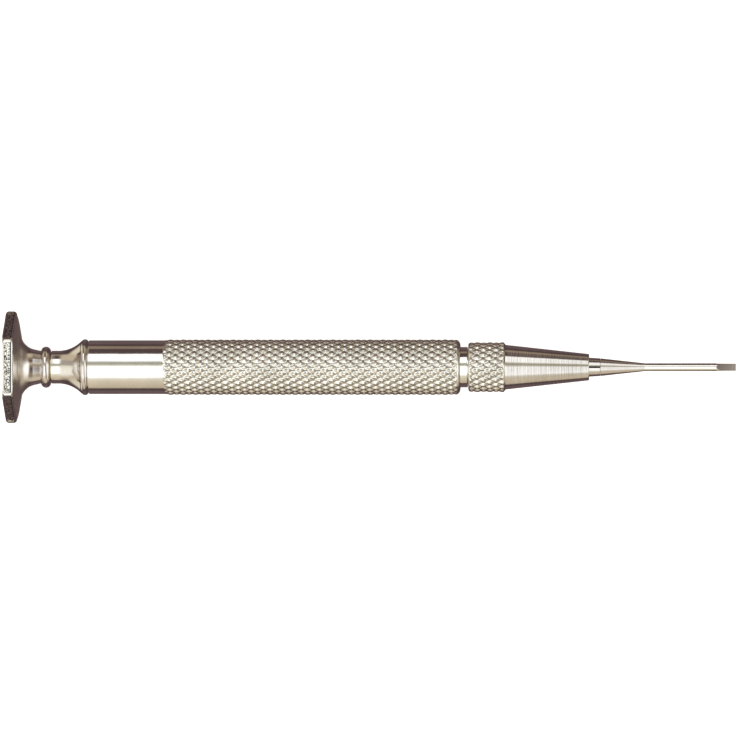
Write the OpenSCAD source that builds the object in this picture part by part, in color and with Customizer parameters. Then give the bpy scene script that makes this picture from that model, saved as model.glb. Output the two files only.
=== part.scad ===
// Watchmaker's screwdriver with a free-turning hexagonal finger rest, a
// diamond-knurled barrel and a screw chuck that holds a turned blade.
//
// The tool lies along +X. X = 0 is the outer face of the finger rest and the
// tip of the blade points to +X. Two flats of the hexagon face +Z and -Z, so
// the tool can lie on one of them. Every length is in millimetres, and a
// "station" is a distance from the outer face of the finger rest along +X.

/* [Overall] */
// Length from the outer face of the finger rest to the tip of the blade
total_l = 100; // [96:1:104]

/* [Finger rest] */
// Width of the hexagonal head across its flats
head_flats = 13.3; // [12.6:0.1:14]
// Thickness of the hexagonal head
head_t = 1.5; // [1.2:0.1:1.8]
// Rounding at the corners of the hexagonal head
head_round = 0.42; // [0.2:0.02:0.5]
// Diameter of the waist below the hexagonal head
waist_d = 4.76; // [4.4:0.02:5]
// Diameter over the bead at the swivel joint
bead_d = 5.64; // [5.4:0.02:5.9]

/* [Barrel] */
// Diameter of the smooth band of the barrel
band_d = 7.36; // [7.2:0.02:7.4]
// Diameter over the crests of the knurl
knurl_d = 7.58; // [7.5:0.02:7.7]
// Station where the smooth band ends and the knurl starts
knurl_start = 21.8; // [20:0.1:24]
// Length over which the knurl rises to its full diameter
knurl_lead = 0.56; // [0.52:0.02:0.8]
// Station of the front end of the barrel
barrel_end = 62.35; // [61:0.05:62.4]
// Diameter of the barrel's bore
barrel_bore_d = 5.1; // [4.9:0.1:5.3]

/* [Chuck] */
// Diameter over the knurled ring of the chuck cap
ring_d = 6.82; // [6.6:0.02:7]
// Diameter of the front end of the chuck cap's nose
nose_d = 3.64; // [3.5:0.02:3.8]
// Station of the front end of the chuck cap's nose
nose_end = 79.95; // [79.5:0.05:80.2]
// Number of jaws that the collet is sawn into
jaws = 4; // [3:1:4]
// Width of each saw cut in the collet
saw_w = 0.24; // [0.16:0.02:0.3]

/* [Blade] */
// Diameter of the blade's round rod
rod_d = 1.08; // [0.9:0.02:1.2]
// Width of the ground tip
tip_w = 1; // [0.84:0.02:1.06]
// Thickness of the ground tip at its end
tip_t = 0.22; // [0.16:0.02:0.3]
// Diameter of the blade's shank inside the collet
shank_d = 1.4; // [1.2:0.02:1.44]
// Radius of the grinding wheel that hollows the two faces of the tip
wheel_r = 8.6; // [7:0.1:10]

/* [Fits] */
// Radial clearance between pieces that turn or slide on each other
running = 0.03; // [0.02:0.01:0.05]

/* [Hidden] */
$fn = 96;
eps = 0.01;

// Finger rest
head_corner_r = head_flats / 2 / cos(30);
head_skim = 0.02;
under_r = 4.88;
under_l = 0.45;
under_x = head_t + under_l;
waist_x = 4.45;
waist_arc_r = waist_x - under_x;
bead_r = 0.66;
bead_x = 5.52;
rest_end = bead_x + bead_r;

// Swivel spindle and what it runs in
spindle_r = 0.8;
spindle_end = 10.9;
rivet_r = 1.15;
rivet_l = 0.5;
journal_bore_r = spindle_r + running;
groove_r = 0.6;
clip_start = 9.56;
clip_t = 0.3;
clip_r = 1.35;
clip_gap = 0.7;
joint_gap = 0.12;
washer_play = 0.04;
outer_washer_start = rest_end + washer_play;
outer_washer_t = 0.2;
outer_washer_r = 1.9;
bush_start = outer_washer_start + outer_washer_t;
bush_end = 9.2;
bush_r = 1.35;
inner_washer_t = 0.3;
inner_washer_r = 1.7;

// End cap
cap_start = rest_end + joint_gap;
cap_neck_r = 2.25;
cap_flare_x = 7.2;
cap_flare_r = 4.47;
cap_flare_end = 10.38;
cap_bead_r = 0.49;
cap_bead_x = 10.89;
cap_bead_top = 3.84;
cap_notch_r = cap_bead_top - cap_bead_r;
cap_spigot_end = 17.5;
clip_room_r = 1.75;

// Barrel
barrel_start = 11.45;
barrel_bore_r = barrel_bore_d / 2;
band_r = band_d / 2;
knurl_r = knurl_d / 2;
barrel_edge = 0.08;
front_round = 0.75;

// Chuck body
chuck_tail_l = 8;
chuck_tail = barrel_end - chuck_tail_l;
neck_r = 2.77;
collar_l = 1;
collar_end = barrel_end + collar_l;
chuck_thread_r = 2.15;
chuck_thread_l = 6.55;
chuck_thread_end = collar_end + chuck_thread_l;
undercut = 0.2;
undercut_l = 0.7;

// Collet
pocket_r = 1.58;
pocket_start = 60;
collet_r = pocket_r - running;
collet_start = 62;
collet_tail_end = 69;
collet_waist_r = 1.28;
collet_cone_start = 76.2;
collet_cone_r = 1.53;
collet_nose_r = 1.22;
collet_end = 81.5;
saw_start = 70;
grip_bore_r = shank_d / 2 + running;
relief_r = 0.98;

// Chuck cap
nut_gap = 0.1;
cap_nut_start = collar_end + nut_gap;
ring_l = 4.9;
ring_end = cap_nut_start + ring_l;
ring_r = ring_d / 2;
ring_round = 0.5;
ring_bevel_l = 0.6;
nose_r = nose_d / 2;
nose_root_r = 3.05;
nose_edge = 0.1;
nut_bore_r = chuck_thread_r + running;
nut_bore_spare = 0.7;
nut_bore_end = chuck_thread_end + nut_bore_spare;
nut_clear_r = 1.75;

// Blade
shank_start = 64;
shoulder_gap = 0.02;
shoulder_x = collet_end + shoulder_gap;
shoulder_r = 1.21;
rod_r = rod_d / 2;
rod_start = 87.64;
tip_l = sqrt(wheel_r ^ 2 - (wheel_r + tip_t / 2 - rod_r) ^ 2);

// Radius of the collet's cone at a station
function collet_cone(x) =
    let (share = (x - collet_cone_start) / (collet_end - collet_cone_start))
    collet_cone_r + share * (collet_nose_r - collet_cone_r);

// Turns an outline about the tool's axis. In the outline, x is the distance
// from the axis and y is the station.
module turned() {
    rotate([0, 90, 0])
        rotate_extrude()
            children();
}

// Rectangle of an outline: a plain disc or ring between two stations
module band(from, to, outer, inner = 0) {
    translate([inner, from])
        square([outer - inner, to - from]);
}

// Region of an outline under a straight line, which turns into a cone
module cone_band(from, to, r_from, r_to) {
    polygon([[0, from], [r_from, from], [r_to, to], [0, to]]);
}

// Plate of the head as an outline with both outer corners rounded
module plate_outline(r) {
    band(0, head_t, r - head_round);
    band(head_round, head_t - head_round, r);
    for (x = [head_round, head_t - head_round])
        translate([r - head_round, x])
            circle(head_round);
}

// Hollow underside of the head: a shallow cone that turns into a round waist
module underside_outline() {
    cone_band(head_t - head_round / 2, under_x, head_corner_r - head_round, under_r);
    difference() {
        band(under_x, waist_x, under_r);
        translate([waist_d / 2 + waist_arc_r, waist_x])
            circle(waist_arc_r);
    }
    band(waist_x, bead_x, waist_d / 2);
}

// Half-round bead on an outline
module bead_outline(x, r, top) {
    band(x - r, x + r, top - r);
    translate([top - r, x])
        circle(r);
}

// Spindle's riveted end and its shaft, up to a station. The same outline is
// the hole that they fill in the finger rest.
module spindle_outline(to) {
    cone_band(0, rivet_l, rivet_r, spindle_r);
    band(rivet_l, to, spindle_r);
}

// Hexagonal finger rest with its waist, its bead and a hole for the spindle
module finger_rest() {
    color("silver")
        difference() {
            union() {
                intersection() {
                    rotate([0, 90, 0])
                        rotate([0, 0, 30])
                            cylinder(r = head_corner_r, h = under_x, $fn = 6);
                    turned() {
                        plate_outline(head_corner_r - head_skim);
                        underside_outline();
                    }
                }
                turned()
                    intersection() {
                        underside_outline();
                        band(under_x - eps, bead_x, under_r);
                    }
                turned()
                    bead_outline(bead_x, bead_r, bead_d / 2);
            }
            turned()
                spindle_outline(rest_end + eps);
        }
}

// Steel spindle, riveted flush into the finger rest, with a groove for the clip
module head_spindle() {
    color("lightsteelblue")
        turned() {
            spindle_outline(clip_start);
            band(clip_start, clip_start + clip_t, groove_r);
            band(clip_start + clip_t, spindle_end, spindle_r);
            cone_band(spindle_end, spindle_end + clip_t, spindle_r, groove_r);
        }
}

// Split spring ring that keeps the spindle in the end cap
module retaining_ring() {
    color("dimgray")
        difference() {
            turned()
                band(clip_start, clip_start + clip_t, clip_r, groove_r);
            translate([clip_start - eps, -clip_gap / 2, 0])
                cube([clip_t + 2 * eps, clip_gap, clip_r + eps]);
        }
}

// Thin washer between the bead of the finger rest and the end cap
module outer_thrust_washer() {
    color("goldenrod")
        turned()
            band(outer_washer_start, bush_start, outer_washer_r, journal_bore_r);
}

// Washer between the spring ring and the end cap
module inner_thrust_washer() {
    color("goldenrod")
        turned()
            band(bush_end, bush_end + inner_washer_t, inner_washer_r, journal_bore_r);
}

// Brass bush, pressed into the end cap, in which the spindle turns
module spindle_bush() {
    color("darkgoldenrod")
        turned()
            band(bush_start, bush_end, bush_r, journal_bore_r);
}

// Outline of the end cap: neck, hollow flare, bead, and the spigot that
// screws into the barrel
module end_cap_outline() {
    flare_centre_r = cap_neck_r + cap_flare_r;
    band(cap_start, cap_flare_x, cap_neck_r);
    difference() {
        band(cap_flare_x, cap_flare_end, cap_bead_top);
        translate([flare_centre_r, cap_flare_x])
            circle(cap_flare_r);
    }
    bead_outline(cap_bead_x, cap_bead_r, cap_bead_top);
    band(cap_flare_end, barrel_start, cap_notch_r);
    band(barrel_start, cap_spigot_end, barrel_bore_r);
}

module end_cap() {
    color("silver")
        turned()
            difference() {
                end_cap_outline();
                band(cap_start - eps, bush_start, outer_washer_r);
                band(cap_start, bush_end, bush_r);
                band(bush_end, cap_spigot_end + eps, clip_room_r);
            }
}

// Barrel tube. The knurl's crests are its outer surface.
module barrel() {
    knurl_end = barrel_end - front_round;
    edge_end = barrel_start + barrel_edge;
    crest_start = knurl_start + knurl_lead;
    color("gainsboro")
        turned()
            difference() {
                union() {
                    cone_band(barrel_start, edge_end, band_r - barrel_edge, band_r);
                    band(edge_end, knurl_start, band_r);
                    cone_band(knurl_start, crest_start, band_r, knurl_r);
                    band(crest_start, knurl_end, knurl_r);
                    band(knurl_end, barrel_end, knurl_r - front_round);
                    translate([knurl_r - front_round, knurl_end])
                        circle(front_round);
                }
                band(barrel_start - eps, barrel_end + eps, barrel_bore_r);
            }
}

// Chuck body: tail in the barrel, neck, undercut, thread for the cap, and a
// blind pocket for the collet
module chuck_body() {
    color("lightgray")
        turned()
            difference() {
                union() {
                    band(chuck_tail, barrel_end, barrel_bore_r);
                    band(barrel_end, collar_end, neck_r);
                    band(collar_end, collar_end + undercut_l, chuck_thread_r - undercut);
                    band(collar_end + undercut_l, chuck_thread_end, chuck_thread_r);
                }
                band(pocket_start, chuck_thread_end + eps, pocket_r);
            }
}

// Saw cuts that split the collet into its jaws
module saw_cuts() {
    for (i = [0 : jaws - 1])
        rotate([i * 360 / jaws, 0, 0])
            translate([saw_start, -saw_w / 2, 0])
                cube([collet_end - saw_start + eps, saw_w, collet_r + eps]);
}

// Split collet: guide sleeve, springy waist, and a cone that the cap closes
module collet() {
    color("slategray")
        difference() {
            turned()
                difference() {
                    union() {
                        band(collet_start, collet_tail_end, collet_r);
                        band(collet_tail_end, collet_cone_start, collet_waist_r);
                        cone_band(collet_cone_start, collet_end, collet_cone_r, collet_nose_r);
                    }
                    band(collet_start - eps, collet_end + eps, grip_bore_r);
                    band(saw_start, collet_cone_start, relief_r);
                }
            saw_cuts();
        }
}

// Outside of the chuck cap: knurled ring with one rounded and one bevelled
// edge, then a long conical nose
module chuck_cap_outline() {
    band(cap_nut_start, ring_end - ring_bevel_l, ring_r - ring_round);
    band(cap_nut_start + ring_round, ring_end - ring_bevel_l, ring_r);
    translate([ring_r - ring_round, cap_nut_start + ring_round])
        circle(ring_round);
    cone_band(ring_end - ring_bevel_l, ring_end, ring_r, nose_root_r);
    cone_band(ring_end, nose_end - nose_edge, nose_root_r, nose_r);
    cone_band(nose_end - nose_edge, nose_end, nose_r, nose_r - nose_edge);
}

module chuck_cap() {
    color("silver")
        turned()
            difference() {
                chuck_cap_outline();
                band(cap_nut_start - eps, nut_bore_end, nut_bore_r);
                band(nut_bore_end, collet_cone_start, nut_clear_r);
                cone_band(collet_cone_start, nose_end + eps,
                    collet_cone(collet_cone_start) + running, collet_cone(nose_end) + running);
            }
}

// Space that the grinding wheel clears from one face of the tip
module wheel() {
    intersection() {
        translate([total_l, 0, tip_t / 2 + wheel_r])
            rotate([90, 0, 0])
                cylinder(r = wheel_r, h = 4 * rod_d, center = true);
        translate([total_l - wheel_r / 2, -2 * rod_d, 0])
            cube([wheel_r, 4 * rod_d, wheel_r]);
    }
}

// Blade: shank, shoulder, taper, rod, and a tip hollow-ground on two faces
// and trimmed to width on its two sides
module blade() {
    color("lightslategray")
        difference() {
            turned() {
                band(shank_start, shoulder_x, shank_d / 2);
                cone_band(shoulder_x, rod_start, shoulder_r, rod_r);
                band(rod_start, total_l, rod_r);
            }
            for (side = [0, 180])
                rotate([side, 0, 0]) {
                    wheel();
                    translate([total_l - tip_l, tip_w / 2, -rod_d])
                        cube([tip_l + eps, rod_d, 2 * rod_d]);
                }
        }
}

finger_rest();
head_spindle();
retaining_ring();
outer_thrust_washer();
inner_thrust_washer();
spindle_bush();
end_cap();
barrel();
chuck_body();
collet();
chuck_cap();
blade();
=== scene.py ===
"""Looks of a nickel-plated watchmaker's screwdriver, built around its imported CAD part.

The tool lies along +X in the CAD frame, with the finger rest at the origin. Every turned piece
is made by revolve(), which turns an outline about the X axis and lets a function of the place on
the surface press a knurl, a thread or a hexagon into it. The pieces' lengths are in millimetres,
and are turned into metres only when a mesh is made. Names that end in START, END or X are stations
along X, and names that end in R are radii.
"""

import math

import bmesh
import bpy
import numpy as np
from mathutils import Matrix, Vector


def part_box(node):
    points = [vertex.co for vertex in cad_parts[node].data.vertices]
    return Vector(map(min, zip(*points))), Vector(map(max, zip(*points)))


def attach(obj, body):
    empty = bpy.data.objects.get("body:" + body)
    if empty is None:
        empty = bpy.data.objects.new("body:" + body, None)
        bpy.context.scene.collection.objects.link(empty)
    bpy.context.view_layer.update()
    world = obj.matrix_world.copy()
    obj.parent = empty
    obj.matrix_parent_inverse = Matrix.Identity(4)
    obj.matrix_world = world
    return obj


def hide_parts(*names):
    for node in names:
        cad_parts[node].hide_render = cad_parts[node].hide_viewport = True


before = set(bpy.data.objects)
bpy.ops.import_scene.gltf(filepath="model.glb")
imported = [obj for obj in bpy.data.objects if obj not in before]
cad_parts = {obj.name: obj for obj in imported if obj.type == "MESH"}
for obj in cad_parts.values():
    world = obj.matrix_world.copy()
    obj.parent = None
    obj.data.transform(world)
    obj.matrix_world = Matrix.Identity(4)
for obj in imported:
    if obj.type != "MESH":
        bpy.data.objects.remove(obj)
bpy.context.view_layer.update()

MM = 0.001
# Vertices nearer than this are joined, in metres.
MERGE = 1e-6
# A radius this near to a surface's own counts as on that surface.
NEAR = 0.01
# Edges over these angles are shaded sharp, in degrees.
SMOOTH = 28
KNURL_SMOOTH = 50
# Faces round a plain turned piece.
SEGMENTS = 96


# ---------------------------------------------------------------- places taken from the frame

def span(node):
    """First and last station of a CAD node along X, and its largest radius, in millimetres."""
    low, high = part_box(node)
    return low.x / MM, high.x / MM, high.z / MM


_, HEAD_END, HEAD_FLAT = span("finger_rest")
CAP_START, CAP_SPIGOT_END, CAP_TOP = span("end_cap")
BARREL_START, BARREL_END, KNURL_TOP = span("barrel")
BODY_TAIL, BODY_END, BODY_NECK = span("chuck_body")
NUT_START, NUT_END, RING_TOP = span("chuck_cap")
COLLET_START, COLLET_END, COLLET_TOP = span("collet")
BLADE_START, TIP_END, SHOULDER_R = span("blade")

# Finger rest
PLATE_T = 1.5
PLATE_EDGE = 0.12
CORNER_SKIM = 0.02
CORNER_R = HEAD_FLAT / math.cos(math.radians(30)) - CORNER_SKIM
CORNER_ROUND = 0.42
UNDER_R = 4.88
UNDER_X = PLATE_T + 0.45
UNDERSIDE_L = 1.6
WAIST_R = 2.38
WAIST_X = 4.45
WAIST_SLOPE = 9
WAIST_END_R = 2.22
BEAD_R = 0.66
BEAD_TOP = 2.82
PANEL_DEPTH = 0.13
PANEL_RIM = 0.2
PANEL_WALL = 0.15
PANEL_SLACK = 0.05
SIXTH = math.radians(60)
RIVET_R = 1.15
SEAM = 0.03
RIVET_L = 0.5
SPINDLE_R = 0.8
HEAD_SEGMENTS = 288

# End cap
CAP_NECK_R = 2.25
FLARE_X = 7.2
FLARE_R = 4.47
FLARE_END = 10.38
CAP_BEAD_R = 0.49
CAP_BEAD_X = 10.89
NOTCH_R = CAP_TOP - CAP_BEAD_R
NOTCH_STEP = 0.05
CAP_EDGE = 0.06
CAP_SEGMENTS = 128
WASHER_ROOM_R = 1.9
BUSH_R = 1.35
BUSH_START = 6.42
BUSH_END = 9.2
CLIP_ROOM_R = 1.75
SPIGOT_PLAIN = 0.3

# Barrel and knurl
BORE_R = 2.55
BAND_R = 3.68
BAND_START = BARREL_START + 0.2
BARREL_EDGE = 0.08
KNURL_START = 21.8
BAND_END = KNURL_START - 0.15
FRONT_ROUND = 0.75
FRONT_PLAIN = 0.3
BAND_OVERLAP = 0.1
FRONT_POLISHED = 0.2
KNURL_TEETH = 24
KNURL_PITCH = 1.71
KNURL_STEPS = 12
KNURL_DEPTH = 0.19
KNURL_WIDTH = 0.4
KNURL_BLEND = 2.6
KNURL_RUN = 0.35
# Pits between this depth and twice it, under the knurl's top, get painted shade, in millimetres.
PIT_DEPTH = 0.195

# Chuck
COLLAR_END = BARREL_END + 1
UNDERCUT_END = COLLAR_END + 0.7
UNDERCUT = 0.2
BODY_EDGE = 0.05
TAIL_PLAIN = 0.5
THREAD_R = 2.15
THREAD_PITCH = 0.5
THREAD_DEPTH = 0.22
POCKET_R = 1.58
POCKET_START = 60.0
RING_END = NUT_START + 5.1
RING_TEETH = 22
RING_ROUND = 0.38
RING_BEVEL = 0.25
RING_MARGIN = 0.1
NOSE_START = RING_END + 0.05
NOSE_ROOT_R = 3.05
NOSE_R = 1.82
NOSE_SLOPE = 6
NOSE_EDGE = 0.1
NUT_BORE_R = 2.18
NUT_BORE_END = BODY_END + 0.7
NUT_CLEAR_R = 1.75
CONE_START = 76.2
CONE_R = 1.53
COLLET_NOSE_R = 1.22
COLLET_EDGE = 0.05
COLLET_TAIL_END = 69.0
COLLET_WAIST_R = 1.28
GRIP_R = 0.73
RELIEF_R = 0.98
SAW_START = 70.0
SAW_W = 0.24
SAW_OVERRUN = 1.0
JAWS = 4
RUNNING = 0.03

# Blade
SHANK_R = 0.7
SHANK_CHAMFER = 0.1
SHOULDER_X = COLLET_END + 0.02
MOUTH_START = NUT_END - 0.1
ROD_START = 87.64
ROD_LEAD = 0.3
ROD_R = 0.54
TIP_W = 1.0
TIP_T = 0.22
WHEEL_R = 8.6
TIP_START = TIP_END - math.sqrt(WHEEL_R ** 2 - (WHEEL_R + TIP_T / 2 - ROD_R) ** 2)
TIP_LEAD = 0.1
TIP_FULL = 0.02
# Half the angle that a ground face's points take up about the axis, in radians: at the shank's
# start, and the least that it may be.
SHANK_OPEN = 0.7
TIP_OPEN = 0.03
FLAT_STEPS = 14
SIDE_STEPS = 22

FLOOR_Z = -HEAD_FLAT


# ---------------------------------------------------------------- outlines and turned meshes

def arc(x, r, radius, start, end, steps=12):
    """Points of an arc about (x, r). 0 degrees points along +X and 90 degrees away from the axis."""
    turns = np.radians(np.linspace(start, end, steps + 1))
    return [(x + radius * math.cos(a), r + radius * math.sin(a)) for a in turns]


def line(x0, r0, x1, r1, steps):
    """Points along a straight stretch of an outline, both ends included."""
    share = np.linspace(0, 1, steps + 1)
    return [(x0 + (x1 - x0) * s, r0 + (r1 - r0) * s) for s in share]


def without_repeats(points):
    """The outline with points that fall on the one before left out."""
    kept = [points[0]]
    for p in points[1:]:
        if math.dist(p, kept[-1]) > 1e-5:
            kept.append(p)
    return kept


def revolve(name, outline, segments=SEGMENTS, shape=None, smooth=SMOOTH):
    """Mesh of an outline turned about X. shape(x, r, angle) gives the radius anew at every vertex.

    The outline runs once round the piece's section, so a tube closes on itself. An outline that
    starts and ends on the axis closes with a single vertex at each end.
    """
    points = np.array(without_repeats(outline))
    solid = points[0, 1] < 1e-9 and points[-1, 1] < 1e-9
    rings = points[1:-1] if solid else points
    turn = np.linspace(0, 2 * math.pi, segments, endpoint=False)
    x = np.repeat(rings[:, :1], len(turn), axis=1)
    r = np.repeat(rings[:, 1:], len(turn), axis=1)
    a = np.broadcast_to(turn, x.shape)
    if shape is not None:
        r = shape(x, r, a)
    verts = np.stack([x, r * np.cos(a), r * np.sin(a)], axis=-1).reshape(-1, 3)
    n, count = len(turn), len(rings)
    row = np.arange(count - 1 if solid else count)[:, None]
    col = np.arange(n)[None, :]
    nxt_row, nxt_col = (row + 1) % count, (col + 1) % n
    quads = np.stack(
        [row * n + col, nxt_row * n + col, nxt_row * n + nxt_col, row * n + nxt_col], axis=-1
    ).reshape(-1, 4)
    faces = quads.tolist()
    if solid:
        verts = np.vstack([verts, [[points[0, 0], 0, 0], [points[-1, 0], 0, 0]]])
        first, last = len(verts) - 2, len(verts) - 1
        end = (count - 1) * n
        faces += [(first, int(c), int((c + 1) % n)) for c in range(n)]
        faces += [(last, int(end + (c + 1) % n), int(end + c)) for c in range(n)]
    return mesh_object(name, verts * MM, faces, smooth)


def mesh_object(name, verts, faces, smooth):
    """New object with smooth shading, but sharp across edges over an angle in degrees."""
    mesh = bpy.data.meshes.new(name)
    mesh.from_pydata(verts.tolist(), [], faces)
    mesh.validate()
    piece = bpy.data.objects.new(name, mesh)
    bpy.context.scene.collection.objects.link(piece)
    clean(mesh)
    mesh.shade_smooth()
    mesh.set_sharp_from_angle(angle=math.radians(smooth))
    return piece


def clean(mesh):
    """Joins points that fall together, and turns every face's normal out of the closed piece."""
    work = bmesh.new()
    work.from_mesh(mesh)
    bmesh.ops.remove_doubles(work, verts=work.verts, dist=MERGE)
    bmesh.ops.recalc_face_normals(work, faces=work.faces)
    work.to_mesh(mesh)
    work.free()


def settle(piece, body, node):
    """Hooks a finished piece to its CAD body and the node that it stands for."""
    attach(piece, body)
    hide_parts(node)
    return piece


def to_next_whole(value):
    """Distance of each value from the nearest whole number."""
    return np.abs(value - np.round(value))


def ease(value):
    """Smooth step of values that run from 0 to 1."""
    t = np.clip(value, 0, 1)
    return t * t * (3 - 2 * t)


def knurl(x, a, teeth, start):
    """Depth of a diamond knurl: two sets of V grooves, deepest where they cross."""
    around = teeth * a / (2 * math.pi)
    along = (x - start) / KNURL_PITCH
    left = np.clip(1 - to_next_whole(around + along) / KNURL_WIDTH, 0, 1)
    right = np.clip(1 - to_next_whole(around - along) / KNURL_WIDTH, 0, 1)
    return KNURL_DEPTH * (left ** KNURL_BLEND + right ** KNURL_BLEND) ** (1 / KNURL_BLEND)


def knurl_rows(start, end, r):
    """Outline points along a knurl. Each diamond has a whole number, so its grooves stay crisp."""
    step = KNURL_PITCH / KNURL_STEPS
    return [(start + k * step, r) for k in range(int((end - start) / step) + 1)] + [(end, r)]


def thread(x, a):
    """Depth of a right-hand V thread."""
    turns = x / THREAD_PITCH - a / (2 * math.pi)
    return THREAD_DEPTH * (1 - 2 * to_next_whole(turns))


# ---------------------------------------------------------------- pieces

def finger_rest():
    """Hexagonal plate with a rimmed panel in each flat, a hollow underside, a waist and a bead."""
    edge = CORNER_ROUND
    outline = (
        [(RIVET_L, SPINDLE_R), (SEAM, RIVET_R)]
        + line(0, RIVET_R + SEAM, 0, CORNER_R - edge, 40)
        + arc(edge, CORNER_R - edge, edge, 180, 90)
        + line(edge, CORNER_R, PLATE_T - edge, CORNER_R, 18)
        + arc(PLATE_T - edge, CORNER_R - edge, edge, 90, 0)
        + line(PLATE_T, CORNER_R - edge, UNDER_X, UNDER_R, 12)
        + arc(WAIST_X, WAIST_R + WAIST_X - UNDER_X, WAIST_X - UNDER_X, 180, 270 - WAIST_SLOPE, 32)
        + [(HEAD_END - 2 * BEAD_R, WAIST_END_R)]
        + arc(HEAD_END - BEAD_R, BEAD_TOP - BEAD_R, BEAD_R, 170, 0, 24)
        + [(HEAD_END, SPINDLE_R)]
    )
    piece = revolve("finger_rest_hex", outline, HEAD_SEGMENTS, hexagon)
    return settle(piece, "swivel_head", "finger_rest")


def hexagon(x, r, a):
    """Radius of the plate where its six flats, their rounded edges and their panels cut it."""
    off = (a % SIXTH) - SIXTH / 2
    near_face = np.clip(1 - x / PLATE_EDGE, 0, 1)
    near_back = np.clip(1 - (PLATE_T - x) / PLATE_EDGE, 0, 1)
    inset = PLATE_EDGE * (1 - np.sqrt(1 - np.maximum(near_face, near_back) ** 2))
    flat = HEAD_FLAT - np.where(x > PLATE_T, 0, inset)
    along = HEAD_FLAT * np.tan(off)
    half = HEAD_FLAT * math.tan(SIXTH / 2)
    inside = np.minimum(
        np.minimum(x - PANEL_RIM, PLATE_T - PANEL_RIM - x),
        half - 2 * PANEL_RIM - np.abs(along),
    )
    depth = PANEL_DEPTH * ease(inside / PANEL_WALL)
    return np.minimum(r, (flat - depth) / np.cos(off))


def end_cap():
    """Flared cap with a bead at its edge and a threaded spigot."""
    flare_top = CAP_NECK_R + FLARE_R
    flare_turn = math.degrees(math.asin((FLARE_END - FLARE_X) / FLARE_R))
    outline = (
        [(CAP_START, WASHER_ROOM_R), (CAP_START, CAP_NECK_R - CAP_EDGE)]
        + arc(CAP_START + CAP_EDGE, CAP_NECK_R - CAP_EDGE, CAP_EDGE, 180, 90, 4)
        + [(FLARE_X, CAP_NECK_R)]
        + arc(FLARE_X, flare_top, FLARE_R, 270, 270 + flare_turn, 40)
        + [(FLARE_END, NOTCH_R + NOTCH_STEP)]
        + arc(CAP_BEAD_X, NOTCH_R, CAP_BEAD_R, 172, 8, 24)
        + [(CAP_BEAD_X + CAP_BEAD_R, NOTCH_R), (BARREL_START, NOTCH_R), (BARREL_START, BORE_R)]
        + line(BARREL_START, BORE_R, CAP_SPIGOT_END, BORE_R, 110)
        + [(CAP_SPIGOT_END, CLIP_ROOM_R), (BUSH_END, CLIP_ROOM_R), (BUSH_END, BUSH_R)]
        + [(BUSH_START, BUSH_R), (BUSH_START, WASHER_ROOM_R)]
    )
    piece = revolve("end_cap_flared", outline, CAP_SEGMENTS, spigot_thread)
    return settle(piece, "handle", "end_cap")


def spigot_thread(x, r, a):
    """The end cap's radius, with a thread cut into the spigot that screws into the barrel."""
    threaded = (x > BARREL_START + SPIGOT_PLAIN) & (np.abs(r - BORE_R) < NEAR)
    return np.where(threaded, r - thread(x, a), r)


def barrel():
    """Barrel tube with its smooth band, its knurl and its rounded front edge."""
    front = BARREL_END - FRONT_ROUND
    outline = (
        [(BARREL_START, BORE_R), (BARREL_START, BAND_R - BARREL_EDGE)]
        + arc(BARREL_START + BARREL_EDGE, BAND_R - BARREL_EDGE, BARREL_EDGE, 180, 90, 5)
        + line(BAND_START, BAND_R, BAND_END, BAND_R, 10)
        + knurl_rows(KNURL_START, front, KNURL_TOP)
        + arc(front, KNURL_TOP - FRONT_ROUND, FRONT_ROUND, 90, 0, 12)
        + [(BARREL_END, BORE_R)]
    )
    segments = KNURL_TEETH * KNURL_STEPS
    piece = revolve("barrel_knurled", outline, segments, barrel_knurl, KNURL_SMOOTH)
    return settle(piece, "handle", "barrel")


def barrel_knurl(x, r, a):
    """The barrel's radius. The knurl rises out of the band and runs out towards the front edge."""
    run_out = ease((BARREL_END - FRONT_PLAIN - x) / KNURL_RUN)
    grooved = r - knurl(x, a, KNURL_TEETH, KNURL_START) * run_out
    rise = ease((x - KNURL_START) / KNURL_RUN)
    return np.where((x >= KNURL_START) & (r > BORE_R + NEAR), BAND_R + (grooved - BAND_R) * rise, r)


def chuck_body():
    """Chuck body with its threaded tail, its neck and the thread for the chuck cap."""
    outline = (
        [(BODY_TAIL, 0)]
        + line(BODY_TAIL, BORE_R, BARREL_END, BORE_R, 130)
        + [(BARREL_END, BODY_NECK - BODY_EDGE), (BARREL_END + BODY_EDGE, BODY_NECK)]
        + [(COLLAR_END - BODY_EDGE, BODY_NECK), (COLLAR_END, BODY_NECK - BODY_EDGE)]
        + [(COLLAR_END, THREAD_R - UNDERCUT), (UNDERCUT_END, THREAD_R - UNDERCUT)]
        + line(UNDERCUT_END, THREAD_R, BODY_END, THREAD_R, 120)
        + [(BODY_END, POCKET_R), (POCKET_START, POCKET_R), (POCKET_START, 0)]
    )
    piece = revolve("chuck_body_threaded", outline, SEGMENTS, chuck_threads)
    return settle(piece, "handle", "chuck_body")


def chuck_threads(x, r, a):
    """The chuck body's radius with both its threads cut."""
    tail = (x < BARREL_END - TAIL_PLAIN) & (np.abs(r - BORE_R) < NEAR)
    front = (x > UNDERCUT_END) & (np.abs(r - THREAD_R) < NEAR)
    return np.where(tail | front, r - thread(x, a), r)


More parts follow.
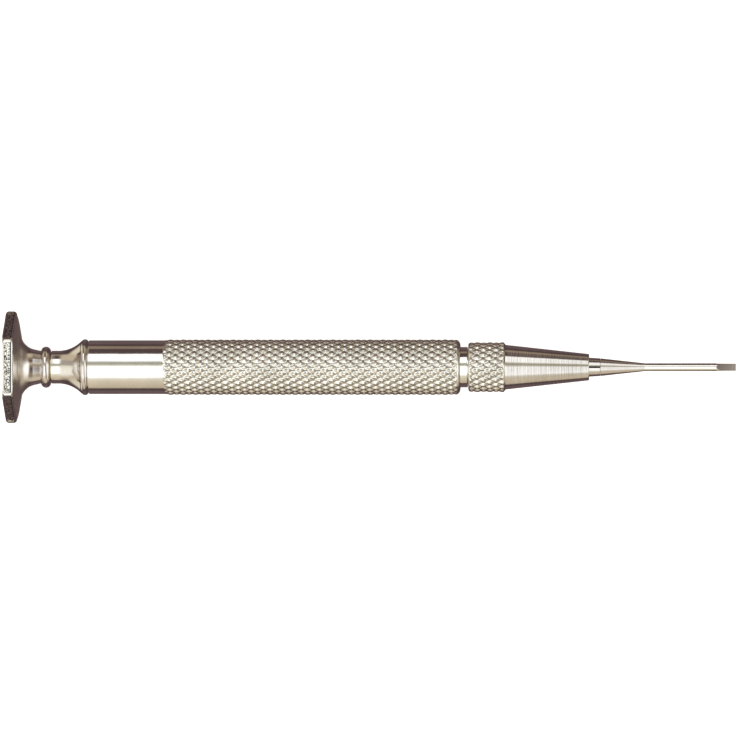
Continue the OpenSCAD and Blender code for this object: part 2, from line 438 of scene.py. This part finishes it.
def chuck_cap():
    """Chuck cap: knurled ring, conical nose, plain internal bore and closing cone."""
    outline = (
        [(NUT_START, NUT_BORE_R), (NUT_START, RING_TOP - RING_ROUND)]
        + arc(NUT_START + RING_ROUND, RING_TOP - RING_ROUND, RING_ROUND, 180, 90, 10)
        + knurl_rows(NUT_START + RING_ROUND, RING_END - RING_BEVEL, RING_TOP)
        + line(RING_END - RING_BEVEL, RING_TOP, RING_END, NOSE_ROOT_R, 6)
        + line(NOSE_START, NOSE_ROOT_R, NUT_END - NOSE_EDGE, NOSE_R, 40)
        + arc(NUT_END - NOSE_EDGE, NOSE_R - NOSE_EDGE, NOSE_EDGE, 90 - NOSE_SLOPE, 0, 6)
        + [(NUT_END, cone(NUT_END) + RUNNING), (CONE_START, CONE_R + RUNNING)]
        + [(CONE_START, NUT_CLEAR_R), (NUT_BORE_END, NUT_CLEAR_R), (NUT_BORE_END, NUT_BORE_R)]
    )
    segments = RING_TEETH * KNURL_STEPS
    piece = revolve("chuck_cap_knurled", outline, segments, ring_knurl, KNURL_SMOOTH)
    return settle(piece, "chuck_cap", "chuck_cap")


def ring_knurl(x, r, a):
    """The chuck cap's radius with the knurl on its ring, which runs out at both ends."""
    rise = ease((x - NUT_START - RING_MARGIN) / KNURL_RUN)
    run_out = ease((RING_END - RING_MARGIN - x) / KNURL_RUN)
    depth = knurl(x, a, RING_TEETH, NUT_START + RING_ROUND) * rise * run_out
    return np.where((x < RING_END) & (r > NUT_BORE_R + NEAR), r - depth, r)


def cone(x):
    """Radius of the collet's closing cone at a station."""
    return CONE_R - (CONE_R - COLLET_NOSE_R) * (x - CONE_START) / (COLLET_END - CONE_START)


def collet():
    """Split collet. Its saw cuts are boxes taken out of the turned piece."""
    nose = COLLET_END - COLLET_EDGE
    outline = (
        [(COLLET_START, GRIP_R), (COLLET_START, COLLET_TOP), (COLLET_TAIL_END, COLLET_TOP)]
        + [(COLLET_TAIL_END, COLLET_WAIST_R), (CONE_START, COLLET_WAIST_R), (CONE_START, CONE_R)]
        + line(CONE_START, CONE_R, nose, cone(nose), 10)
        + [(COLLET_END, COLLET_NOSE_R - COLLET_EDGE), (COLLET_END, GRIP_R)]
        + [(CONE_START, GRIP_R), (CONE_START, RELIEF_R), (SAW_START, RELIEF_R), (SAW_START, GRIP_R)]
    )
    piece = revolve("collet_split", outline)
    cutter = saw_cuts()
    cut = piece.modifiers.new("saw_cuts", "BOOLEAN")
    cut.operation = "DIFFERENCE"
    cut.solver = "EXACT"
    cut.object = cutter
    apply_modifiers(piece)
    bpy.data.objects.remove(cutter)
    return settle(piece, "collet", "collet")


BOX_FACES = [
    (0, 1, 2, 3), (7, 6, 5, 4), (0, 4, 5, 1), (1, 5, 6, 2), (2, 6, 7, 3), (3, 7, 4, 0),
]


def saw_cuts():
    """One mesh with a thin box for every saw cut of the collet, each from the bore outwards."""
    verts = []
    faces = []
    for i in range(JAWS):
        turn = 2 * math.pi * i / JAWS
        side = Vector((0, math.cos(turn), math.sin(turn))) * SAW_W / 2
        outward = Vector((0, -math.sin(turn), math.cos(turn)))
        near, far = outward * GRIP_R / 2, outward * COLLET_TOP * 2
        base = len(verts)
        for x in (SAW_START, COLLET_END + SAW_OVERRUN):
            for corner in (near - side, near + side, far + side, far - side):
                verts.append([x, corner.y, corner.z])
        faces += [[base + k for k in f] for f in BOX_FACES]
    return mesh_object("collet_saw", np.array(verts) * MM, faces, SMOOTH)


def apply_modifiers(piece):
    """Puts the result of the piece's modifiers into its mesh."""
    graph = bpy.context.evaluated_depsgraph_get()
    mesh = bpy.data.meshes.new_from_object(piece.evaluated_get(graph))
    piece.modifiers.clear()
    piece.data = mesh
    mesh.shade_smooth()
    mesh.set_sharp_from_angle(angle=math.radians(SMOOTH))


def blade():
    """Blade: shank, shoulder, taper, rod, and a tip hollow-ground on two faces."""
    stations = (
        [(BLADE_START, SHANK_R - SHANK_CHAMFER), (BLADE_START + SHANK_CHAMFER, SHANK_R)]
        + [(MOUTH_START, SHANK_R), (SHOULDER_X, SHANK_R)]
        + line(SHOULDER_X, SHOULDER_R, ROD_START, ROD_R, 30)
        + line(ROD_START + ROD_LEAD, ROD_R, TIP_START - TIP_LEAD, ROD_R, 20)
        + line(TIP_START, ROD_R, TIP_END, ROD_R, 60)
    )
    rings = [blade_ring(x, r) for x, r in stations]
    n = len(rings[0])
    verts = np.array(rings).reshape(-1, 3)
    faces = []
    for k in range(len(rings) - 1):
        for i in range(n):
            j = (i + 1) % n
            faces.append((k * n + i, (k + 1) * n + i, (k + 1) * n + j, k * n + j))
    faces.append(tuple(range(n)))
    faces.append(tuple(range(len(verts) - n, len(verts))))
    piece = mesh_object("blade_ground", verts * MM, faces, SMOOTH)
    return settle(piece, "blade", "blade")


def blade_ring(x, r):
    """One section of the blade. The same count of points lies on each ground face and each side."""
    half_t = half_thickness(x, r)
    if x < TIP_START:
        share = (x - BLADE_START) / (TIP_START - BLADE_START)
        open_angle = SHANK_OPEN * (1 - share) + TIP_OPEN * share
    else:
        open_angle = max(math.acos(min(half_t / r, 1)), TIP_OPEN)
    half_w = TIP_W / 2 if x > TIP_START + TIP_FULL else r
    ring = []
    for top in (math.pi / 2, math.pi * 3 / 2):
        side, next_side = top + open_angle, top + math.pi - open_angle
        angles = np.append(
            np.linspace(top - open_angle, side, FLAT_STEPS, endpoint=False),
            np.linspace(side, next_side, SIDE_STEPS, endpoint=False),
        )
        y = np.clip(r * np.cos(angles), -half_w, half_w)
        z = np.clip(r * np.sin(angles), -half_t, half_t)
        ring += [(x, *place) for place in zip(y, z)]
    return ring


def half_thickness(x, r):
    """Half the blade's thickness at a station, where the grinding wheel has hollowed it."""
    if x <= TIP_START:
        return r
    return TIP_T / 2 + WHEEL_R - math.sqrt(WHEEL_R ** 2 - (TIP_END - x) ** 2)


# ---------------------------------------------------------------- materials

class Nodes:
    """Short way to write a material's or the world's node tree."""

    def __init__(self, tree):
        self.tree = tree
        tree.nodes.clear()

    def add(self, kind, **settings):
        """New node. Names of settings with a leading in_ set an input, and the rest a property."""
        node = self.tree.nodes.new(kind)
        for key, value in settings.items():
            if key.startswith("in_"):
                self.put(node.inputs[key[3:].replace("_", " ")], value)
            else:
                setattr(node, key, value)
        return node

    def put(self, socket, value):
        """Links a socket, or sets its value."""
        if isinstance(value, bpy.types.NodeSocket):
            self.tree.links.new(value, socket)
        else:
            socket.default_value = value

    def math(self, operation, *values):
        """Result of one Math node."""
        node = self.add("ShaderNodeMath", operation=operation)
        for socket, value in zip(node.inputs, values):
            self.put(socket, value)
        return node.outputs[0]

    def ramp(self, factor, stops):
        """Colour that goes in straight lines from stop to stop, each a position and a colour."""
        node = self.add("ShaderNodeValToRGB", in_Fac=factor)
        elements = node.color_ramp.elements
        for i, (position, colour) in enumerate(stops):
            element = elements[i] if i < 2 else elements.new(position)
            element.position = position
            element.color = (*colour, 1)
        return node.outputs[0]

    def mix(self, factor, first, second):
        """Blend of two colours."""
        node = self.add("ShaderNodeMix", data_type="RGBA")
        sockets = [socket for socket in node.inputs if socket.enabled]
        for socket, value in zip(sockets, (factor, first, second)):
            self.put(socket, value)
        return [socket for socket in node.outputs if socket.enabled][0]

    def step(self, value, start, end):
        """Smooth step from 0 to 1 as the value goes from start to end."""
        node = self.add("ShaderNodeMapRange", interpolation_type="SMOOTHSTEP", in_Value=value)
        self.put(node.inputs["From Min"], start)
        self.put(node.inputs["From Max"], end)
        return node.outputs[0]

    def noise(self, cells, detail=3.0, roughness=0.5):
        """Noise fixed to the piece. Cells is a count per metre, or one count for each of X, Y and Z."""
        scale = cells if isinstance(cells, tuple) else (cells, cells, cells)
        place = self.add("ShaderNodeTexCoord").outputs["Object"]
        mapped = self.add("ShaderNodeMapping", in_Vector=place, in_Scale=scale).outputs[0]
        node = self.add("ShaderNodeTexNoise", in_Vector=mapped)
        self.put(node.inputs["Scale"], 1.0)
        self.put(node.inputs["Detail"], detail)
        self.put(node.inputs["Roughness"], roughness)
        return node.outputs[0]

    def bump(self, height, depth, normal=None):
        """Normal of a surface that rises by depth, in millimetres, as height goes from 0 to 1."""
        node = self.add("ShaderNodeBump", in_Height=height, in_Distance=depth * MM)
        self.put(node.inputs["Strength"], 1.0)
        if normal is not None:
            self.put(node.inputs["Normal"], normal)
        return node.outputs[0]

    def finish(self, shader, kind):
        """Puts a shader out, where kind is the output node's kind."""
        output = self.add(kind)
        self.put(output.inputs["Surface"], shader.outputs[0])


GRAIN_SHARE = 0.4
DRIFT = 260
MARK_CELLS = (4200, 40, 40)
MARK_DEPTH = 0.02
MARK_SHADE = 0.2


def metal(name, dark, light, rough, grain, depth, drift=DRIFT, marks=0.0, spread=0.15):
    """Bare metal: colour that drifts over the surface, fine grain in its gloss, and turning marks.

    Grain and drift are cells per metre and depth is the grain's, in millimetres. Rough is the range
    of the roughness. Marks is how far fine rings round the axis darken the metal. The smaller the
    spread, the harder the colour goes over from dark to light.
    """
    material = bpy.data.materials.new(name)
    material.use_nodes = True
    nodes = Nodes(material.node_tree)
    fine = nodes.noise(grain, 2.0, 0.6)
    wide = nodes.math("MULTIPLY", nodes.noise(drift, 4.0), 1 - GRAIN_SHARE)
    share = nodes.math("MULTIPLY_ADD", fine, GRAIN_SHARE, wide)
    colour = nodes.ramp(share, [(0.5 - spread, dark), (0.5 + spread, light)])
    smoothest, roughest = rough
    gloss = nodes.math("MULTIPLY_ADD", fine, roughest - smoothest, smoothest)
    normal = nodes.bump(fine, depth)
    if marks:
        rings = nodes.noise(MARK_CELLS, 3.0, 0.7)
        share = nodes.math("MULTIPLY", nodes.step(rings, 0.62, 0.38), marks)
        colour = nodes.mix(share, colour, (*(MARK_SHADE * c for c in dark), 1))
        normal = nodes.bump(rings, MARK_DEPTH, normal)
    shader = nodes.add(
        "ShaderNodeBsdfPrincipled", in_Base_Color=colour, in_Roughness=gloss, in_Normal=normal
    )
    shader.inputs["Metallic"].default_value = 1.0
    nodes.finish(shader, "ShaderNodeOutputMaterial")
    return material


def paint(piece, material):
    """Gives the piece this material in place of what it has."""
    piece.data.materials.clear()
    piece.data.materials.append(material)


def paint_where(piece, material, test):
    """Gives the material to the faces that pass the test, by their centre, in millimetres, and normal."""
    piece.data.materials.append(material)
    index = len(piece.data.materials) - 1
    for face in piece.data.polygons:
        if test(face.center / MM, face.normal):
            face.material_index = index


def in_panel(place, normal):
    """Is the place on the floor of a panel in one of the finger rest's flats?"""
    off = (math.atan2(place.z, place.y) % SIXTH) - SIXTH / 2
    depth = HEAD_FLAT - math.hypot(place.y, place.z) * math.cos(off)
    return place.x < PLATE_T and PANEL_DEPTH / 2 < depth < PANEL_DEPTH + PANEL_SLACK


def in_shaded_corner(place, normal):
    """Is the place on a panel's wall that faces away from the blade, where painted shade goes?"""
    return PANEL_RIM < place.x < PLATE_T - PANEL_RIM + NEAR and normal.x < -0.1


def on_outer_face(place, normal):
    """Is the place on the finger rest's flat outer face?"""
    return place.x < SEAM and normal.x < -0.9


def on_underside(place, normal):
    """Is the place on the hollow underside of the finger rest's plate?"""
    return PLATE_T < place.x < PLATE_T + UNDERSIDE_L


def on_band(place, normal):
    """Is the place on the barrel's smooth band or its plain front end?"""
    return place.x < KNURL_START + BAND_OVERLAP or place.x > BARREL_END - FRONT_POLISHED


def on_ring(place, normal):
    """Is the place on the knurled ring of the chuck cap?"""
    return NUT_START + RING_MARGIN < place.x < RING_END - RING_BEVEL / 2


def in_shaded_pits(top, start, end):
    """Test for a knurl's deepest places, where its grooves cross, which get painted shade."""
    def test(place, normal):
        depth = top - math.hypot(place.y, place.z)
        return start < place.x < end and PIT_DEPTH < depth < 2 * PIT_DEPTH
    return test


def on_tip(place, normal):
    """Is the place on one of the blade's ground faces?"""
    return place.x > TIP_START and abs(normal.y) < 0.1


def in_shaded_mouth(place, normal):
    """Is the place on the shank inside the collet's nose, under the saw cuts, where painted shade goes?
    """
    return MOUTH_START < place.x < SHOULDER_X - NEAR


# ---------------------------------------------------------------- studio

# Lengths here are in metres, apart from the sensor's width, which is in millimetres.
TILT = math.radians(2.4)
CAMERA_FAR = 1.0
CLIP_FAR = 100
VIEW_WIDTH = 0.10075
VIEW_CENTRE = (0.0497, -0.00011, 0)
SENSOR = 36.0
FLOOR_HALF = 6.0
FLOOR_GLOW = 0.75


def camera():
    """Long lens that looks down on the tool, tipped a little towards the blade."""
    data = bpy.data.cameras.new("camera")
    data.sensor_width = SENSOR
    data.lens = SENSOR * CAMERA_FAR / VIEW_WIDTH
    data.clip_end = CLIP_FAR
    item = bpy.data.objects.new("camera", data)
    bpy.context.scene.collection.objects.link(item)
    item.location = Vector(VIEW_CENTRE) + CAMERA_FAR * Vector((math.sin(TILT), 0, math.cos(TILT)))
    item.rotation_euler = (0, TILT, 0)
    bpy.context.scene.camera = item


def floor():
    """Wide pale floor with a faint glow of its own, which keeps the tool's shadow soft and light.

    Metal doesn't mirror it, but the darker room below it instead.
    """
    signs = ((-1, -1), (1, -1), (1, 1), (-1, 1))
    verts = np.array([[x * FLOOR_HALF, y * FLOOR_HALF, FLOOR_Z * MM] for x, y in signs])
    piece = mesh_object("floor", verts, [(0, 1, 2, 3)], SMOOTH)
    piece.visible_glossy = False
    material = bpy.data.materials.new("floor_paper")
    material.use_nodes = True
    nodes = Nodes(material.node_tree)
    shade = nodes.ramp(nodes.noise(6), [(0.3, (0.88, 0.88, 0.88)), (0.7, (0.92, 0.92, 0.92))])
    shader = nodes.add("ShaderNodeBsdfPrincipled", in_Base_Color=shade, in_Emission_Color=shade)
    shader.inputs["Emission Strength"].default_value = FLOOR_GLOW
    shader.inputs["Roughness"].default_value = 1.0
    shader.inputs["Specular IOR Level"].default_value = 0.0
    nodes.finish(shader, "ShaderNodeOutputMaterial")
    paint(piece, material)


WINDOW = (1.6, 1.6, 1.6)
CURTAIN = (1.05, 1.0, 0.9)
HAZE = (0.9, 0.86, 0.74)
GAP = (0.42, 0.42, 0.36)
PALE_TAN = (0.78, 0.69, 0.54)
TAN = (0.6, 0.5, 0.38)
SHADE = (0.42, 0.37, 0.32)
DEEP_TAN = (0.3, 0.23, 0.17)
BROWN = (0.09, 0.06, 0.062)
UMBER = (0.15, 0.105, 0.11)

# What the metal mirrors, as (angle about the tool, colour). 0 is straight up and +90 is towards +Y.
MIDDLE = [
    (-180, UMBER), (-125, UMBER), (-110, BROWN), (-105, BROWN), (-100, TAN), (-65, PALE_TAN),
    (-51, HAZE), (-41, WINDOW), (1, WINDOW), (7, HAZE), (13, GAP), (21, GAP), (30, WINDOW),
    (56, WINDOW), (61, BROWN), (85, BROWN), (88, DEEP_TAN), (100, DEEP_TAN), (104, BROWN),
    (110, BROWN), (125, UMBER), (180, UMBER),
]
HEAD_WALL = [
    (-80, TAN), (-50, CURTAIN), (-20, CURTAIN), (5, HAZE), (20, SHADE), (45, SHADE), (60, TAN),
    (90, TAN),
]
HEAD_END_WALL = [(-180, BROWN), (-108, BROWN), *HEAD_WALL, (108, BROWN), (180, BROWN)]
BEHIND_HEAD = [(-180, HAZE), (-112, PALE_TAN), *HEAD_WALL, (112, PALE_TAN), (180, HAZE)]
BLADE_END_WALL = [
    (-180, BROWN), (-112, BROWN), (-98, TAN), (-80, TAN), (-66, DEEP_TAN), (-45, DEEP_TAN),
    (-10, BROWN), (8, DEEP_TAN), (25, TAN), (42, BROWN), (64, DEEP_TAN), (78, TAN), (95, TAN),
    (106, BROWN), (180, BROWN),
]
BEYOND_BLADE = [
    (-180, TAN), (-110, TAN), (-85, CURTAIN), (-40, WINDOW), (25, WINDOW), (50, TAN), (90, BROWN),
    (180, TAN),
]
# Bands towards the room's ends: the X of the direction where they set in, and where they are full.
ENDS = [
    (BLADE_END_WALL, 0.05, 0.45),
    (BEYOND_BLADE, 0.6, 0.85),
    (HEAD_END_WALL, -0.1, -0.36),
    (BEHIND_HEAD, -0.45, -0.65),
]


def room():
    """Light of the room by direction: bright panels overhead, tan walls, dark brown low down.

    The bands lie along the tool. Towards each end they give way to a dimmer wall, and that to what
    is straight beyond the tool. The camera itself sees a plain pale backdrop.
    """
    world = bpy.data.worlds.new("room")
    world.use_nodes = True
    bpy.context.scene.world = world
    nodes = Nodes(world.node_tree)
    place = nodes.add("ShaderNodeTexCoord").outputs["Generated"]
    x, y, z = nodes.add("ShaderNodeSeparateXYZ", in_Vector=place).outputs
    turn = nodes.math("MULTIPLY_ADD", nodes.math("ARCTAN2", y, z), 0.5 / math.pi, 0.5)
    colour = band_colour(nodes, turn, MIDDLE)
    for bands, start, full in ENDS:
        colour = nodes.mix(nodes.step(x, start, full), colour, band_colour(nodes, turn, bands))
    mirrored = nodes.add("ShaderNodeBackground", in_Color=colour)
    backdrop = nodes.add("ShaderNodeBackground", in_Color=(1, 1, 1, 1))
    seen = nodes.add("ShaderNodeLightPath").outputs["Is Camera Ray"]
    shader = nodes.add("ShaderNodeMixShader", in_Fac=seen)
    nodes.put(shader.inputs[1], mirrored.outputs[0])
    nodes.put(shader.inputs[2], backdrop.outputs[0])
    nodes.finish(shader, "ShaderNodeOutputWorld")


def band_colour(nodes, turn, bands):
    """Colour of the bands at a turn about the tool, from 0 at -180 degrees to 1 at +180 degrees."""
    return nodes.ramp(turn, [((angle + 180) / 360, colour) for angle, colour in bands])


# ---------------------------------------------------------------- the tool

camera()
floor()
room()
bpy.context.scene.view_settings.view_transform = "Standard"

polished = metal(
    "nickel_polished", (0.74, 0.72, 0.68), (0.88, 0.86, 0.82), (0.07, 0.16), 5000, 0.004
)
satin = metal("nickel_satin", (0.74, 0.71, 0.66), (0.84, 0.81, 0.76), (0.24, 0.34), 5000, 0.004)
grained = metal(
    "nickel_grained", (0.04, 0.04, 0.04), (0.95, 0.93, 0.88), (0.2, 0.3), 5600, 0.03,
    drift=5600, spread=0.1,
)
# Near-black metal that paints shade on the panels' walls and on the shank in the collet's mouth.
painted_shade = metal("painted_shade_metal", (0.02, 0.02, 0.02), (0.08, 0.07, 0.06), (0.5, 0.6), 5000, 0.01)
knurled = metal("nickel_knurl", (0.74, 0.75, 0.7), (0.99, 1.0, 0.95), (0.12, 0.26), 4500, 0.03)
# Darker metal that paints shade in the knurls' deepest pits.
pit_shade = metal("nickel_tarnish", (0.12, 0.115, 0.105), (0.3, 0.29, 0.26), (0.3, 0.45), 4500, 0.02)
turned = metal(
    "nickel_turned", (0.72, 0.7, 0.66), (0.86, 0.84, 0.8), (0.06, 0.15), (5000, 3000, 3000), 0.002,
    marks=0.14,
)
drawn = metal("blade_steel", (0.7, 0.68, 0.64), (0.84, 0.82, 0.78), (0.08, 0.2), 5000, 0.003)
ground = metal(
    "blade_ground", (0.26, 0.23, 0.205), (0.42, 0.375, 0.34), (0.35, 0.5), (9000, 2000, 9000), 0.008
)
sawn = metal("collet_steel", (0.64, 0.62, 0.58), (0.8, 0.78, 0.74), (0.12, 0.26), 4000, 0.003)
steel = metal("spindle_steel", (0.56, 0.54, 0.51), (0.7, 0.68, 0.65), (0.2, 0.32), 4000, 0.002)
spring = metal("spring_steel", (0.26, 0.25, 0.25), (0.4, 0.39, 0.38), (0.25, 0.4), 4000, 0.002)
yellow = metal("brass", (0.66, 0.48, 0.22), (0.8, 0.64, 0.36), (0.18, 0.32), 4000, 0.002)

head = finger_rest()
paint(head, polished)
paint_where(head, satin, on_underside)
paint_where(head, satin, on_outer_face)
paint_where(head, grained, in_panel)
# Painted shade on the panels' walls that face away from the blade.
paint_where(head, painted_shade, in_shaded_corner)
paint(end_cap(), polished)
tube = barrel()
paint(tube, knurled)
paint_where(tube, polished, on_band)
# Painted shade in the barrel knurl's deepest pits.
paint_where(tube, pit_shade, in_shaded_pits(KNURL_TOP, KNURL_START + KNURL_RUN, BARREL_END - FRONT_ROUND))
paint(chuck_body(), polished)
nut = chuck_cap()
paint(nut, turned)
paint_where(nut, knurled, on_ring)
# Painted shade in the ring knurl's deepest pits.
paint_where(nut, pit_shade, in_shaded_pits(RING_TOP, NUT_START + RING_ROUND, RING_END - RING_BEVEL))
paint(collet(), sawn)
driver = blade()
paint(driver, drawn)
paint_where(driver, ground, on_tip)
# Painted shade on the shank inside the collet's mouth, seen through the saw cuts.
paint_where(driver, painted_shade, in_shaded_mouth)
for node, material in (
    ("head_spindle", steel),
    ("retaining_ring", spring),
    ("outer_thrust_washer", yellow),
    ("inner_thrust_washer", yellow),
    ("spindle_bush", yellow),
):
    paint(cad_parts[node], material)
